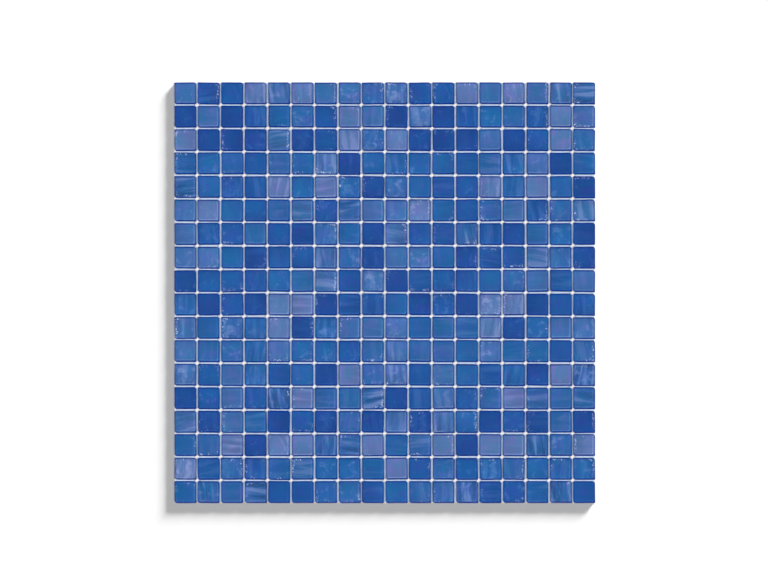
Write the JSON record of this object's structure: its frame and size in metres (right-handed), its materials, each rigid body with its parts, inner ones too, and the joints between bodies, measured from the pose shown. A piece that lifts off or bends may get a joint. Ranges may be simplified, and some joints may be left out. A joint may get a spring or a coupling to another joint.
{
  "type": "mosaic tile sheet",
  "caption": "Square sheet of small glass tiles in mixed blues on a white backing net, for lining walls, pools and floors.",
  "frame": {"origin": "centre of the sheet on the underside of its net", "axes": "+X along the rows of tiles, +Y up the columns, +Z out of the finished face"},
  "size_m": [0.294, 0.294, 0.0046],
  "materials": {
    "deep_cobalt_glass": "polished opaque glass, dark blue",
    "cobalt_glass": "polished opaque glass, strong blue",
    "azure_glass": "polished opaque glass, clear blue",
    "cornflower_glass": "polished streaked glass, mid blue",
    "periwinkle_glass": "polished streaked glass, violet blue",
    "lavender_glass": "polished streaked glass, pale violet blue",
    "net_yarn": "white coated glass-fibre yarn"
  },
  "bodies": {
    "root": {"tiles_deep_cobalt": "deep_cobalt_glass", "tiles_cobalt": "cobalt_glass", "tiles_azure": "azure_glass", "tiles_cornflower": "cornflower_glass", "tiles_periwinkle": "periwinkle_glass", "tiles_lavender": "lavender_glass", "net_weft": "net_yarn", "net_warp": "net_yarn"}
  },
  "joints": []
}
